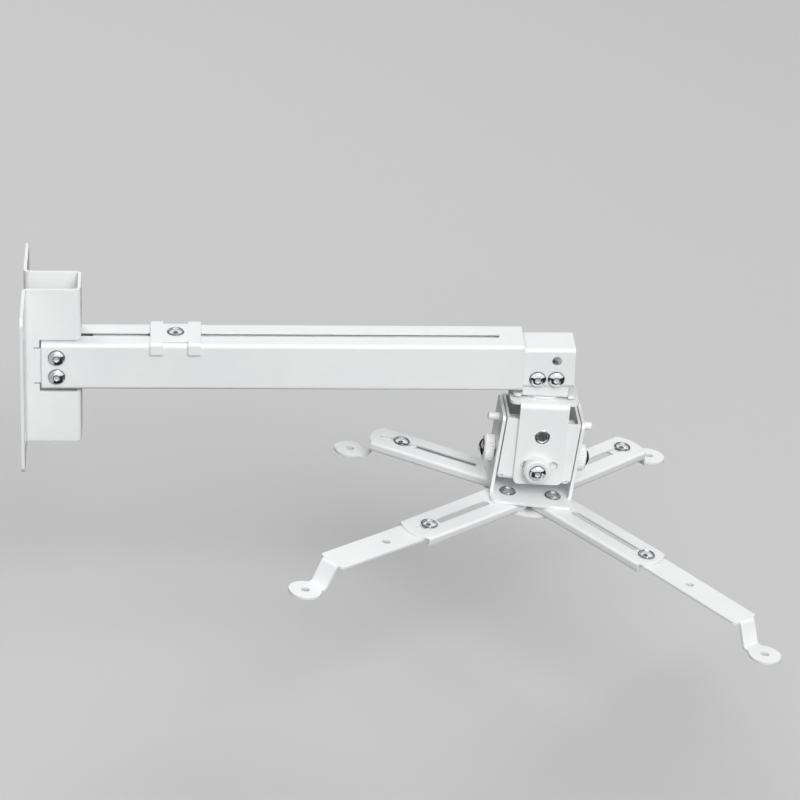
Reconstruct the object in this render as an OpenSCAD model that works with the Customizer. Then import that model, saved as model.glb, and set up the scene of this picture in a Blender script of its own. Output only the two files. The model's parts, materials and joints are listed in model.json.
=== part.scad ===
// Wall and ceiling mount for a projector: a folded wall bracket, a telescopic arm,
// a head that swivels, rolls and tilts, and four slotted legs with sliding foot bars.
// Origin: the wall plane where the axis of the arm meets it. +X runs along the arm,
// +Y to the left of someone who faces the wall, +Z up. Millimetres.

/* [Wall bracket] */
// Height of the folded bracket
bracket_h = 128; // [110:1:180]
// Width of the bracket across both wall flanges
bracket_w = 142.8; // [110:1:200]
// How far the folded channel stands out from the wall
channel_depth = 44; // [40:0.5:60]
// Sheet thickness of the bracket
bracket_t = 2.5; // [1.5:0.1:3.5]
// Inside radius of the bracket bends
bracket_bend = 2.5; // [1:0.5:4]
// Corner radius of the wall flanges
flange_corner = 6; // [2:1:12]
// Depth where the notch for the arm starts
notch_x = 12.5; // [9:0.5:20]
// Height of the notch for the arm
notch_h = 44; // [42:1:60]
// Width of a wall screw slot
wall_slot_w = 7; // [4:0.5:9]
// Length of a wall screw slot
wall_slot_len = 18; // [10:1:30]
// Sideways distance between the wall screw slots
wall_slot_dx = 104; // [70:1:120]
// Height between the wall screw slots
wall_slot_dz = 88; // [60:1:96]

/* [Arm] */
// Outside size of the square outer tube
outer_w = 38; // [36:0.5:40]
// Wall of the outer tube
outer_t = 1.5; // [1:0.1:2]
// Outside corner radius of the outer tube
outer_r = 3; // [2.5:0.5:5]
// Where the outer tube starts, measured from the wall
outer_x0 = 14; // [13:0.5:16]
// Length of the outer tube
outer_len = 367; // [300:1:500]
// Outside size of the square inner tube
inner_w = 32.5; // [30:0.5:33]
// Wall of the inner tube
inner_t = 1.5; // [1:0.1:2]
// Outside corner radius of the inner tube
inner_r = 3; // [2.5:0.5:5]
// Distance from the start of the outer tube to the start of the inner tube, with the arm pushed in
inner_back = 38.5; // [38:0.5:60]
// How far the inner tube stands out of the outer tube, with the arm pushed in
inner_out = 39.5; // [39:0.5:60]
// How far the arm is drawn out
arm_out = 0; // [0:1:220]
// Width of the slot in the top of the outer tube
slot_w = 7; // [6.6:0.1:9]
// Distance from the slot to the outer end of the outer tube
slot_end = 18; // [12:1:30]
// Length of the clip that rides on the outer tube
clip_len = 38.4; // [30:0.5:50]
// Width of one finger of the clip
finger_w = 9.6; // [6:0.2:12]
// Sheet thickness of the clip
clip_t = 1.5; // [1:0.1:2]
// How far the fingers reach down
finger_drop = 8; // [5:0.2:12]
// Distance from the start of the inner tube to the clip screw
clip_at = 63; // [50:1:90]

/* [Head] */
// Distance from the end of the inner tube to the middle of the two end bolts
end_at = 21.2; // [20:0.1:26]
// Distance between the two end bolts
end_pitch = 14.2; // [13.6:0.1:16]
// Height of the end bolts below the axis of the outer tube
end_low = 9.8; // [7:0.1:10]
// Height of the spare hole over the end bolts
spare_up = 15.2; // [13.6:0.1:17]
// Lean of the whole head, taken up in the holes of the end bolts
sag = 3.1; // [0:0.1:3.2]
// Swivel of the head about its upright bolt
head_yaw = 1; // [-20:1:20]
// Drop from the end bolts to the axis of the tilt rod
head_drop = 44.2; // [44:0.1:56]
// Sheet thickness of the head parts
head_t = 2.5; // [2:0.1:3]
// Length of the two walls of the connector along the arm
connector_len = 35; // [32:0.5:37]
// Length of the foot plate under the walls of the connector
foot_len = 49; // [44:1:52]
// Diameter of the friction disc on top of the head
disc_d = 28; // [20:1:46]
// Thickness of the friction disc
disc_t = 1.6; // [1:0.1:2.5]
// Width of the top plate of the upper bracket
top_w = 53; // [46:1:60]
// Width of the two cheeks of the upper bracket
cheek_w = 38; // [30:1:42]
// Depth of the upper bracket over both cheeks
upper_depth = 47.4; // [44:0.2:54]
// Height of the top plate over the tilt rod
upper_top = 25.4; // [25:0.2:30]
// Length of a cheek below the tilt rod
cheek_low = 43.4; // [40:0.2:44]
// Height of the roll pivot below the tilt rod
eye_drop = 1.9; // [0:0.1:4]
// Drop from the tilt rod to the tilt lock bolts
lock_drop = 27.8; // [24:0.1:30]
// Drop from the tilt rod to the roll lock bolts
roll_drop = 29.2; // [26:0.1:30]
// Half of the angle that a lock slot allows
slot_half = 24; // [16:1:26]
// Roll of the box in the upper bracket
roll = 4; // [-10:0.5:10]
// Width of the roll box
box_w = 57.4; // [52:0.2:64]
// Height of the roll box above the tilt rod
box_top = 10; // [6:0.2:11]
// Height of the roll box below the tilt rod
box_low = 42.8; // [40:0.2:44]
// Sheet thickness of the roll box
box_t = 2; // [1.5:0.1:2.5]
// Gap on each side between the roll box and the walls of the platform
side_play = 0.9; // [0.3:0.1:1.4]
// Diameter of the tilt rod
rod_d = 6.2; // [5:0.1:8]
// Length of the tilt rod
rod_len = 81.4; // [76:0.2:90]

/* [Platform] */
// Depth of the side walls of the lower bracket
wall_d = 41; // [36:1:52]
// Height of the side walls above the tilt rod
wall_top = 10; // [7:0.5:13]
// Height from the tilt rod down to the platform
plate_drop = 55.4; // [53:0.2:62]
// Depth of the platform plate
plate_d = 68; // [60:1:80]
// Distance between the leg pivots along the arm
pivot_dx = 35.6; // [34.6:0.2:38]
// Distance between the leg pivots across the arm
pivot_dy = 34.2; // [33.6:0.2:38]
// Diameter of the base disc under the legs
base_d = 66; // [60:1:76]
// Thickness of the base disc
base_t = 2; // [1.5:0.1:3]

/* [Legs and foot bars] */
// Outside width of a leg channel
leg_w = 32.6; // [29:0.2:33]
// Height of a leg channel
leg_h = 7.4; // [6.4:0.1:9]
// Sheet thickness of a leg
leg_t = 1.5; // [1.2:0.1:1.8]
// Length of a leg from its pivot to its tip
leg_len = 111; // [104:1:140]
// Distance from the pivot to the inner end of the slot
leg_slot_in = 22.5; // [20:0.5:30]
// Distance from the tip of the leg to the outer end of its slot
leg_slot_tip = 7.5; // [7:0.5:8]
// Width of the slot in a leg
leg_slot_w = 6.6; // [6.4:0.1:8]
// Distance from the tip of the front left leg to the screw of its foot bar
tip_front_left = 21; // [11:0.2:60]
// Distance from the tip of the front right leg to the screw of its foot bar
tip_front_right = 11.2; // [11:0.2:60]
// Distance from the tip of the back left leg to the screw of its foot bar
tip_back_left = 25; // [11:0.2:60]
// Distance from the tip of the back right leg to the screw of its foot bar
tip_back_right = 16; // [11:0.2:60]
// Distance from the tip of a leg to the end of its turned-in lips
lip_tip = 5; // [3:0.5:8]
// Width of the turned-in lip under a leg
lip_w = 4.2; // [2:0.1:5]
// Width of a foot bar
bar_w = 24.6; // [20:0.2:25]
// Thickness of a foot bar
bar_t = 2; // [1.5:0.1:2.4]
// Length of a long foot bar from its screw to its outer corner
bar_long = 104.8; // [75:0.1:140]
// Length of a short foot bar from its screw to its outer corner
bar_short = 17.3; // [16:0.1:40]
// Length of a foot bar inward of its screw
bar_tail = 12; // [9:0.5:16]
// Distance from the outer corner of a long bar to its spare hole
spare_in = 58.5; // [40:0.5:64]
// Width of the neck between a bar and its foot eye
neck_w = 15.4; // [12:0.2:17]
// Reach from the outer corner of a bar to the middle of its foot eye
eye_reach = 23.8; // [22:0.2:30]
// Drop from a bar down to its foot eye
eye_low = 17.4; // [10:0.2:24]
// Diameter of a foot eye
eye_d = 25; // [18:0.5:30]
// Diameter of the hole in a foot eye
eye_hole = 6.5; // [4:0.1:8]
// Slant of the long bars inside their loose channels
bar_slack = 1.7; // [0:0.1:1.7]

/* [Fasteners] */
// Diameter of every bolt and screw except the swivel bolt
bolt_d = 6; // [5:0.1:6.2]
// Diameter of a dome head
dome_d = 13; // [11:0.2:13.4]
// Height of a dome head
dome_h = 3.7; // [2.5:0.1:5]
// Width of a nut across its flats
nut_w = 10; // [8:0.2:11]
// Height of a nut
nut_h = 5; // [4:0.1:5.4]
// Diameter of the swivel bolt
swivel_d = 8; // [6:0.1:9]
// Diameter of the knurled lock washers
knurl_d = 21; // [17:0.5:22]
// Thickness of the knurled lock washers
knurl_h = 7.8; // [4:0.2:8]
// Gap between sheets that slide or turn on each other
gap = 0.3; // [0.3:0.05:0.4]
// Radial gap of a pin in the hole that turns on it
run_gap = 0.08; // [0.05:0.01:0.1]
// Radial gap of a bolt in a plain hole
hole_gap = 0.2; // [0.1:0.05:0.3]

/* [Hidden] */
$fn = 72;

white = "WhiteSmoke";
chrome = "Silver";
steel = "DarkGray";

hole_r = bolt_d/2 + hole_gap;
pin_r = bolt_d/2 + run_gap;

// The channel fits inside the outer tube, so that the tube slides over its tongues
channel_w = outer_w - 2*outer_t - 2*gap - 0.4;
tongue_x1 = channel_depth - bracket_bend - bracket_t;
tongue_h = outer_w - 2*outer_r - 4;
wall_bolt_x = (outer_x0 + tongue_x1)/2 - 1;
wall_bolt_z = 8;

// Arm
inner_drop = (outer_w - 2*outer_t - inner_w)/2 - gap;
inner_x0 = outer_x0 + inner_back + arm_out;
inner_x1 = outer_x0 + outer_len + inner_out + arm_out;
inner_len = inner_x1 - inner_x0;
slot_x0 = channel_depth - 3;
slot_x1 = outer_x0 + outer_len - slot_end;
clip_x = inner_x0 + clip_at;
clip_z = outer_w/2 + gap;
inner_top = inner_w/2 - inner_drop;
inner_bottom = -inner_w/2 - inner_drop;

// Head
end_x = inner_x1 - end_at;
web_low = -head_drop + upper_top + gap + disc_t;
connector_w = inner_w - 2*inner_t - 2*gap;
cheek_in = upper_depth/2 - head_t;
box_d = 2*(cheek_in - gap);
box_wall_in = box_d/2 - box_t;
box_side_in = box_w/2 - box_t;
lock_r = roll_drop - eye_drop;
eyelet_r = 4.9;
lower_in = box_w/2 + side_play;
lower_out = lower_in + head_t;

// Platform heights, measured from the tilt rod
plate_low = -plate_drop - head_t;
leg_z = plate_low - gap;
bar_z = leg_z - leg_t - gap;
base_z = leg_z - leg_h - gap;
leg_slot_out = leg_len - leg_slot_tip;
lip_end = leg_len - lip_tip;

// Legs: pivot signs, direction, place of the screw along the leg, bar reach, slack
FRONT_LEFT = [-1, -1, 223.2, leg_len - tip_front_left, bar_long, -bar_slack];
FRONT_RIGHT = [1, -1, -48.8, leg_len - tip_front_right, bar_long, -bar_slack];
BACK_LEFT = [-1, 1, 155.3, leg_len - tip_back_left, bar_short, 0];
BACK_RIGHT = [1, 1, 44.8, leg_len - tip_back_right, bar_short, 0];

// Rectangle with round corners about the origin
module round_rect(w, h, r) {
    square([w - 2*r, h], center = true);
    square([w, h - 2*r], center = true);
    for (x = [-1, 1], y = [-1, 1])
        translate([x*(w/2 - r), y*(h/2 - r)]) circle(r = r);
}

// Slot with round ends from x0 to x1, as an outline
module slot_2d(x0, x1, w) {
    translate([x0 + w/2, -w/2]) square([x1 - x0 - w, w]);
    translate([x0 + w/2, 0]) circle(d = w);
    translate([x1 - w/2, 0]) circle(d = w);
}

function heading(a, b) = atan2(b[1] - a[1], b[0] - a[0]);
function wrap(a) = a > 180 ? a - 360 : a < -180 ? a + 360 : a;
function bend_turn(p, i) = wrap(heading(p[i], p[i + 1]) - heading(p[i - 1], p[i]));
function bend_len(p, i, r) = r*tan(abs(bend_turn(p, i))/2);

// Edge outline of a sheet of thickness t that follows the corner points p;
// r is the bend radius of the middle of the sheet
module sheet_2d(p, r, t) {
    n = len(p);
    for (i = [0 : n - 2]) {
        s0 = i == 0 ? 0 : bend_len(p, i, r);
        s1 = i == n - 2 ? 0 : bend_len(p, i + 1, r);
        translate(p[i]) rotate(heading(p[i], p[i + 1]))
            translate([s0, -t/2]) square([norm(p[i + 1] - p[i]) - s0 - s1, t]);
    }
    for (i = [1 : n - 2]) {
        q = bend_turn(p, i);
        translate(p[i]) rotate(heading(p[i - 1], p[i]))
            translate([-bend_len(p, i, r), sign(q)*r]) rotate(q > 0 ? -90 : 90 + q)
                sector_2d(r - t/2, r + t/2, abs(q));
    }
}

// Part of a ring from angle 0 to angle a
module sector_2d(r0, r1, a) {
    intersection() {
        difference() {
            circle(r = r1);
            circle(r = r0);
        }
        polygon([[0, 0], [3*r1, 0], 3*r1*[cos(a/2), sin(a/2)]/cos(a/2), 3*r1*[cos(a), sin(a)]]);
    }
}

// Screw or bolt: dome head with a hex socket on the plane z = 0, shank below
module dome_screw(length, d = bolt_d) {
    rim = 0.7;
    cap = dome_h - rim;
    ball = (dome_d*dome_d/4 + cap*cap)/(2*cap);
    difference() {
        union() {
            cylinder(d = dome_d, h = rim);
            intersection() {
                translate([0, 0, dome_h - ball]) sphere(r = ball);
                translate([0, 0, rim]) cylinder(d = dome_d, h = cap + 1);
            }
            translate([0, 0, -length]) cylinder(d = d, h = length);
        }
        translate([0, 0, dome_h - 2.2]) cylinder(d = 4.6, h = 3, $fn = 6);
    }
}

// Hex nut from z = 0 down, with a chamfer left round its lower face
module hex_nut(d = bolt_d, w = nut_w, h = nut_h) {
    corner = w/cos(30);
    translate([0, 0, -h]) difference() {
        intersection() {
            cylinder(d = corner, h = h, $fn = 6);
            union() {
                cylinder(d1 = w, d2 = corner + 0.2, h = 0.8);
                translate([0, 0, 0.8]) cylinder(d = corner + 0.2, h = h);
            }
        }
        translate([0, 0, -1]) cylinder(r = d/2 + 0.05, h = h + 2);
    }
}

// Knurled lock washer from z = 0 up
module knurled_washer() {
    teeth = 40;
    bite = 0.5;
    rim_r = knurl_d/2;
    difference() {
        union() {
            linear_extrude(knurl_h - 1)
                polygon([for (i = [0 : 2*teeth - 1])
                    (rim_r - (i % 2)*bite)*[cos(i*180/teeth), sin(i*180/teeth)]]);
            translate([0, 0, knurl_h - 1]) cylinder(r1 = rim_r - bite - 0.2, r2 = rim_r - 1.6, h = 1);
        }
        translate([0, 0, -1]) cylinder(r = hole_r, h = knurl_h + 2);
    }
}

// Frames of the head, one on the other
module at_connector() {
    translate([end_x, 0, -end_low]) rotate([0, sag, 0]) children();
}
module at_head() {
    at_connector() translate([0, 0, -head_drop]) rotate([0, 0, head_yaw]) children();
}
module at_box() {
    at_head() translate([0, 0, -eye_drop]) rotate([0, roll, 0]) translate([0, 0, eye_drop]) children();
}
module at_leg(leg) {
    at_box() translate([leg[0]*pivot_dx/2, leg[1]*pivot_dy/2, 0]) rotate([0, 0, leg[2]]) children();
}
module at_bar(leg) {
    at_leg(leg) translate([leg[3], 0, bar_z]) rotate([0, 0, leg[5]]) children();
}

// Two copies, one facing -Y and one facing +Y, with z pointing outward
module front_and_back(y, z) {
    for (s = [-1, 1]) translate([0, s*y, z]) rotate([-s*90, 0, 0]) children();
}
module left_and_right(x, z) {
    for (s = [-1, 1]) translate([s*x, 0, z]) rotate([0, s*90, 0]) children();
}

// Wall unit
module bracket_profile() {
    r = bracket_bend + bracket_t/2;
    y1 = channel_w/2 - bracket_t/2;
    x1 = channel_depth - bracket_t/2;
    x0 = bracket_t/2;
    sheet_2d([[x0, -bracket_w/2], [x0, -y1], [x1, -y1], [x1, y1], [x0, y1], [x0, bracket_w/2]],
        r, bracket_t);
}

module tongue_outline() {
    r = 3;
    translate([notch_x - 5, -tongue_h/2]) square([tongue_x1 - r - notch_x + 5, tongue_h]);
    translate([notch_x - 5, -tongue_h/2 + r]) square([tongue_x1 - notch_x + 5, tongue_h - 2*r]);
    for (z = [-1, 1]) translate([tongue_x1 - r, z*(tongue_h/2 - r)]) circle(r = r);
}

module wall_bracket() {
    relief = 1.6;
    color(white) difference() {
        intersection() {
            translate([0, 0, -bracket_h/2]) linear_extrude(bracket_h) bracket_profile();
            translate([-1, 0, 0]) rotate([90, 0, 90])
                linear_extrude(channel_depth + 2) round_rect(bracket_w, bracket_h, flange_corner);
        }
        // Notch for the tube, with a tongue left in each side wall
        translate([0, channel_w, 0]) rotate([90, 0, 0]) linear_extrude(2*channel_w) difference() {
            union() {
                translate([notch_x, -notch_h/2]) square([channel_depth, notch_h]);
                for (z = [-1, 1]) translate([notch_x - 4, z*(tongue_h/2 + relief/2) - relief/2])
                    square([6, relief]);
            }
            tongue_outline();
        }
        // Bolt holes in the tongues
        translate([wall_bolt_x, 0, 0]) for (z = [-1, 1])
            translate([0, channel_w/2 + 1, z*wall_bolt_z]) rotate([90, 0, 0])
                cylinder(r = hole_r, h = channel_w + 2);
        // Slots for the wall screws
        for (y = [-1, 1], z = [-1, 1])
            translate([-1, y*wall_slot_dx/2, z*wall_slot_dz/2]) rotate([90, 0, 90])
                linear_extrude(bracket_t + 2)
                    slot_2d(-wall_slot_len/2, wall_slot_len/2, wall_slot_w);
    }
}

module outer_tube() {
    color(white) difference() {
        translate([outer_x0, 0, 0]) rotate([90, 0, 90]) linear_extrude(outer_len) difference() {
            round_rect(outer_w, outer_w, outer_r);
            round_rect(outer_w - 2*outer_t, outer_w - 2*outer_t, outer_r - outer_t);
        }
        translate([0, 0, outer_w/2 - outer_t - 1]) linear_extrude(outer_t + 2)
            slot_2d(slot_x0, slot_x1, slot_w);
        for (z = [-1, 1]) translate([wall_bolt_x, outer_w/2 + 1, z*wall_bolt_z])
            rotate([90, 0, 0]) cylinder(r = hole_r, h = outer_w + 2);
    }
}

module wall_bolts() {
    reach = outer_w/2 - channel_w/2 + bracket_t + nut_h - 0.5;
    color(chrome) for (z = [-1, 1]) translate([wall_bolt_x, 0, 0])
        front_and_back(outer_w/2, z*wall_bolt_z) dome_screw(reach);
}

module wall_nuts() {
    color(steel) for (z = [-1, 1]) translate([wall_bolt_x, 0, 0])
        front_and_back(channel_w/2 - bracket_t, z*wall_bolt_z) hex_nut();
}

// Sliding arm
module inner_tube() {
    color(white) difference() {
        translate([inner_x0, 0, -inner_drop]) rotate([90, 0, 90]) linear_extrude(inner_len) difference() {
            round_rect(inner_w, inner_w, inner_r);
            round_rect(inner_w - 2*inner_t, inner_w - 2*inner_t, inner_r - inner_t);
        }
        // Bottom wall and its inside corners cut open for the connector
        translate([end_x - connector_len/2 - 2, -connector_w/2 - gap, inner_bottom - 1])
            cube([inner_len, connector_w + 2*gap, inner_r + 1]);
        // Two bolt holes and the spare hole above the outer one
        for (x = [-1, 1]) translate([end_x + x*end_pitch/2, inner_w, -end_low])
            rotate([90, 0, 0]) cylinder(r = hole_r, h = 2*inner_w);
        translate([end_x + end_pitch/2, inner_w, spare_up - end_low])
            rotate([90, 0, 0]) cylinder(r = hole_r + 0.5, h = 2*inner_w);
        // Hole of the clip screw
        translate([clip_x, 0, 0]) cylinder(r = hole_r, h = outer_w);
    }
}

module arm_clip() {
    half = outer_w/2 + gap + clip_t;
    neck_y = 14.6;
    color(white) difference() {
        translate([clip_x - clip_len/2, 0, 0]) rotate([90, 0, 90]) linear_extrude(clip_len)
            sheet_2d([[-half + clip_t/2, clip_z - finger_drop], [-half + clip_t/2, clip_z + clip_t/2],
                [half - clip_t/2, clip_z + clip_t/2], [half - clip_t/2, clip_z - finger_drop]],
                1.2 + clip_t/2, clip_t);
        for (s = [-1, 1]) translate([clip_x, s*(neck_y + outer_w/2), clip_z])
            linear_extrude(4*outer_w, center = true) round_rect(clip_len - 2*finger_w, outer_w, 1);
        translate([clip_x, 0, clip_z - 1]) cylinder(r = hole_r, h = clip_t + 2);
    }
}

module clip_screw() {
    reach = clip_z + clip_t - inner_top + inner_t + nut_h - 0.3;
    color(chrome) translate([clip_x, 0, clip_z + clip_t]) dome_screw(reach);
}

module clip_nut() {
    color(steel) translate([clip_x, 0, inner_top - inner_t]) hex_nut();
}

// Connector between the arm and the head: two walls folded up from a longer foot plate
module connector() {
    wall_top_z = 8.5;
    relief = 0.6;
    bend = 1 + head_t/2;
    half = connector_w/2 - head_t/2;
    color(white) at_connector() difference() {
        union() {
            translate([-connector_len/2, 0, 0]) rotate([90, 0, 90]) linear_extrude(connector_len)
                sheet_2d([[-half, wall_top_z], [-half, web_low + head_t/2],
                    [half, web_low + head_t/2], [half, wall_top_z]], bend, head_t);
            translate([0, 0, web_low]) linear_extrude(head_t) difference() {
                round_rect(foot_len, connector_w, 4);
                for (s = [-1, 1]) translate([0, s*(half - bend + connector_w/2)])
                    square([connector_len + 2*relief, connector_w], center = true);
            }
        }
        for (x = [-1, 1]) translate([x*end_pitch/2, inner_w, 0]) rotate([90, 0, 0])
            cylinder(r = hole_r + 0.4, h = 2*inner_w);
        translate([0, 0, web_low - 1]) cylinder(r = swivel_d/2 + hole_gap, h = head_t + 2);
    }
}

module end_bolts() {
    color(chrome) for (x = [-1, 1]) translate([end_x + x*end_pitch/2, -inner_w/2, -end_low])
        rotate([90, 0, 0]) dome_screw(inner_w + nut_h + 1);
}

module end_nuts() {
    color(steel) for (x = [-1, 1]) translate([end_x + x*end_pitch/2, inner_w/2, -end_low])
        rotate([90, 0, 0]) hex_nut();
}

module friction_disc() {
    color(white) at_connector() translate([0, 0, web_low - disc_t]) difference() {
        cylinder(d = disc_d, h = disc_t);
        translate([0, 0, -1]) cylinder(r = swivel_d/2 + hole_gap, h = disc_t + 2);
    }
}

module swivel_bolt() {
    reach = head_t + disc_t + gap + head_t + gap + 7;
    color(chrome) at_connector() translate([0, 0, web_low + head_t]) {
        cylinder(d = 14, h = 4, $fn = 6);
        translate([0, 0, -reach]) cylinder(d = swivel_d, h = reach + 1);
    }
}

module swivel_nut() {
    color(steel) at_connector() translate([0, 0, web_low - disc_t - gap - head_t - gap])
        hex_nut(swivel_d, 13, 6.2);
}

// Upper bracket: a wide top plate with a narrower cheek in front and one behind
module upper_bracket() {
    bend = 2 + head_t/2;
    flat = upper_depth/2 - bend - head_t/2;
    y1 = upper_depth/2 - head_t/2;
    color(white) at_head() difference() {
        union() {
            translate([0, 0, upper_top - head_t]) linear_extrude(head_t) round_rect(top_w, 2*flat, 5);
            intersection() {
                translate([-cheek_w/2, 0, 0]) rotate([90, 0, 90]) linear_extrude(cheek_w)
                    sheet_2d([[-y1, -cheek_low], [-y1, upper_top - head_t/2],
                        [y1, upper_top - head_t/2], [y1, -cheek_low]], bend, head_t);
                translate([0, upper_depth, (upper_top - cheek_low)/2]) rotate([90, 0, 0])
                    linear_extrude(2*upper_depth) cheek_outline();
            }
        }
        translate([0, 0, upper_top - head_t - 1]) cylinder(r = swivel_d/2 + run_gap, h = head_t + 2);
        translate([0, upper_depth, -eye_drop]) rotate([90, 0, 0]) {
            cylinder(r = eyelet_r + 0.1, h = 2*upper_depth);
            linear_extrude(2*upper_depth) lock_slot(lock_r, 0);
        }
    }
}

module cheek_outline() {
    h = upper_top + cheek_low;
    r = 4.5;
    translate([-cheek_w/2, -h/2 + r]) square([cheek_w, h - r]);
    translate([-cheek_w/2 + r, -h/2]) square([cheek_w - 2*r, r + 1]);
    for (x = [-1, 1]) translate([x*(cheek_w/2 - r), -h/2 + r]) circle(r = r);
}

// Curved slot below a pivot at the origin
module lock_slot(r, tilt_by) {
    w = bolt_d/2 + 0.4;
    rotate(-90 - slot_half + tilt_by) {
        sector_2d(r - w, r + w, 2*slot_half);
        translate([r, 0]) circle(r = w);
    }
    rotate(-90 + slot_half + tilt_by) translate([r, 0]) circle(r = w);
}

module roll_eyelets() {
    lip = 0.8;
    in_y = box_wall_in - gap - lip;
    out_y = upper_depth/2;
    color(chrome) at_head() front_and_back(in_y, -eye_drop) difference() {
        union() {
            cylinder(r = eyelet_r, h = out_y - in_y + lip);
            cylinder(r = eyelet_r + 1.2, h = lip);
            translate([0, 0, out_y - in_y]) cylinder(r1 = eyelet_r + 1.2, r2 = eyelet_r + 0.6, h = lip);
        }
        translate([0, 0, -1]) cylinder(r = eyelet_r - 0.9, h = out_y);
    }
}

// Roll box: folded from a cross-shaped blank, open at the top
module roll_box() {
    bend = 1.5 + box_t/2;
    y1 = box_d/2 - box_t/2;
    x1 = box_w/2 - box_t/2;
    notch = [4.5, bend + box_t/2 + 0.1];
    color(white) at_box() difference() {
        union() {
            difference() {
                translate([-box_w/2, 0, 0]) rotate([90, 0, 90]) linear_extrude(box_w)
                    sheet_2d([[-y1, box_top], [-y1, -box_low + box_t/2],
                        [y1, -box_low + box_t/2], [y1, box_top]], bend, box_t);
                for (s = [-1, 1]) translate([s*box_w/2, 0, -box_low])
                    cube([2*notch[0], 2*box_d, 2*notch[1]], center = true);
            }
            translate([0, box_wall_in - gap, 0]) rotate([90, 0, 0]) linear_extrude(2*(box_wall_in - gap))
                sheet_2d([[-x1, box_top], [-x1, -box_low + box_t/2],
                    [x1, -box_low + box_t/2], [x1, box_top]], bend, box_t);
        }
        translate([0, box_d, 0]) rotate([90, 0, 0]) {
            translate([0, -eye_drop, 0]) cylinder(r = eyelet_r + run_gap, h = 2*box_d);
            translate([0, -roll_drop, 0]) cylinder(r = hole_r, h = 2*box_d);
        }
        translate([-box_w, 0, 0]) rotate([0, 90, 0]) {
            cylinder(r = rod_d/2 + 0.05, h = 2*box_w);
            translate([lock_drop, 0, 0]) cylinder(r = hole_r, h = 2*box_w);
        }
    }
}

module roll_bolts() {
    seat = upper_depth/2 + gap + knurl_h;
    color(chrome) at_box() front_and_back(seat, -roll_drop)
        dome_screw(seat - box_wall_in + nut_h + 0.5);
}

module roll_washers() {
    color(white) at_box() front_and_back(upper_depth/2 + gap, -roll_drop) knurled_washer();
}

module roll_nuts() {
    color(steel) at_box() front_and_back(box_wall_in, -roll_drop) hex_nut();
}

module tilt_rod() {
    tip = 0.7;
    color(white) at_box() translate([-rod_len/2, 0, 0]) rotate([0, 90, 0]) {
        cylinder(d1 = rod_d - 2*tip, d2 = rod_d, h = tip);
        translate([0, 0, tip]) cylinder(d = rod_d, h = rod_len - 2*tip);
        translate([0, 0, rod_len - tip]) cylinder(d1 = rod_d, d2 = rod_d - 2*tip, h = tip);
    }
}

module tilt_bolts() {
    seat = lower_out + gap + knurl_h;
    color(chrome) at_box() left_and_right(seat, -lock_drop)
        dome_screw(seat - box_side_in + nut_h + 0.5);
}

module tilt_washers() {
    color(white) at_box() left_and_right(lower_out + gap, -lock_drop) knurled_washer();
}

module tilt_nuts() {
    color(steel) at_box() left_and_right(box_side_in, -lock_drop) hex_nut();
}

// Lower bracket: the platform plate with a side wall folded up at each end, between two ears
module lower_bracket() {
    relief = 0.6;
    ears = 2*lower_out + 2;
    bend = 2 + head_t/2;
    x1 = lower_out - head_t/2;
    flat = lower_out - head_t/2 - bend;
    color(white) at_box() difference() {
        union() {
            translate([0, 0, plate_low]) linear_extrude(head_t) difference() {
                round_rect(2*lower_out, plate_d, 6);
                for (s = [-1, 1]) translate([s*(flat + lower_out), 0])
                    square([2*lower_out, wall_d + 2*relief], center = true);
            }
            intersection() {
                translate([0, wall_d/2, 0]) rotate([90, 0, 0]) linear_extrude(wall_d)
                    sheet_2d([[-x1, wall_top], [-x1, plate_low + head_t/2],
                        [x1, plate_low + head_t/2], [x1, wall_top]], bend, head_t);
                translate([-ears/2, 0, 0]) rotate([90, 0, 90]) linear_extrude(ears) wall_outline();
            }
        }
        translate([-box_w, 0, 0]) rotate([0, 90, 0]) {
            cylinder(r = rod_d/2 + run_gap, h = 2*box_w);
            rotate([0, 0, 90]) linear_extrude(2*box_w) lock_slot(lock_drop, 0);
        }
        for (x = [-1, 1], y = [-1, 1]) translate([x*pivot_dx/2, y*pivot_dy/2, plate_low - 1])
            cylinder(r = hole_r, h = head_t + 2);
    }
}

module wall_outline() {
    r = 4;
    h = wall_top - plate_low;
    translate([-wall_d/2, plate_low]) square([wall_d, h - r]);
    translate([-wall_d/2 + r, plate_low]) square([wall_d - 2*r, h]);
    for (y = [-1, 1]) translate([y*(wall_d/2 - r), wall_top - r]) circle(r = r);
}

module base_disc() {
    color(white) at_box() difference() {
        translate([0, 0, base_z - base_t]) cylinder(d = base_d, h = base_t);
        for (x = [-1, 1], y = [-1, 1]) translate([x*pivot_dx/2, y*pivot_dy/2, base_z - base_t - 1])
            cylinder(r = hole_r, h = base_t + 2);
    }
}

module leg_screws() {
    color(chrome) at_box() for (x = [-1, 1], y = [-1, 1])
        translate([x*pivot_dx/2, y*pivot_dy/2, -plate_drop])
            dome_screw(base_t - base_z - plate_drop + nut_h + 0.5);
}

module leg_nuts() {
    color(steel) at_box() for (x = [-1, 1], y = [-1, 1])
        translate([x*pivot_dx/2, y*pivot_dy/2, base_z - base_t]) hex_nut();
}

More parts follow.
